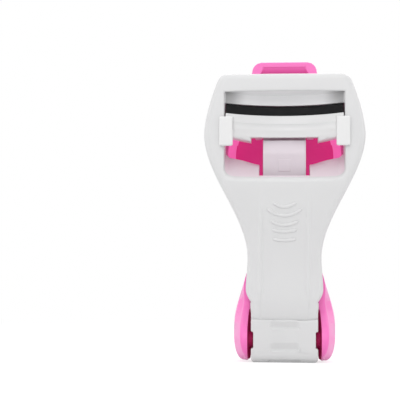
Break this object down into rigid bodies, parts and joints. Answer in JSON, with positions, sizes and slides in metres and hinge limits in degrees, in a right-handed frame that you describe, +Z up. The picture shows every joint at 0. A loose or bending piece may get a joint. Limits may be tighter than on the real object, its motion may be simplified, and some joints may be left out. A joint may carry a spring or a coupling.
{
  "type": "eyelash curler",
  "caption": "Compact hand-held eyelash curler: a hinged pink lever works a sliding jaw with a soft pad against the curved fixed jaw of a white window frame.",
  "frame": {"origin": "middle of the flat base under the hinge, between the frame's two clevis arms", "axes": "+X across the width, +Y towards the eye side (back of the frame), -Y towards the lever, +Z up along the curler to the lever's tab"},
  "size_m": [0.045, 0.0226, 0.086],
  "materials": {
    "white_plastic": "satin moulded ABS",
    "pink_plastic": "satin moulded ABS",
    "lash_pad": "matte silicone rubber",
    "steel": "drawn wire and ground pin"
  },
  "bodies": {
    "frame": {"frame": "white_plastic", "hinge_cover": "white_plastic", "hinge_pin": "steel", "torsion_spring": "steel"},
    "lever": {"lever": "pink_plastic"},
    "lock": {"lock_button": "white_plastic", "lock_slide": "white_plastic"},
    "slider": {"jaw_slider": "white_plastic", "lash_pad": "lash_pad", "clip_left": "white_plastic", "clip_right": "white_plastic", "link_top_pin": "steel"},
    "link": {"push_link": "white_plastic", "link_low_pin": "steel"}
  },
  "joints": [
    {"name": "lever_hinge", "type": "hinge", "parent": "frame", "child": "lever", "pos_m": [0, 0.0005, 0.0062], "axis": [1, 0, 0], "range_deg": [0, 36]},
    {"name": "lock_travel", "type": "slide", "parent": "lever", "child": "lock", "axis": [0, 0, 1], "range_m": [0, 0.004]},
    {"name": "jaw_travel", "type": "slide", "parent": "frame", "child": "slider", "axis": [0, 0, -1], "range_m": [0, 0.00525]},
    {"name": "link_swing", "type": "hinge", "parent": "slider", "child": "link", "pos_m": [0, -0.0032, 0.0647], "axis": [-1, 0, 0], "range_deg": [0, 6.6]}
  ],
  "couplings": [
    {"joint": "jaw_travel", "follows": "lever_hinge", "m_per_rad": 0.0082765},
    {"joint": "link_swing", "follows": "lever_hinge", "ratio": 0.1807}
  ]
}
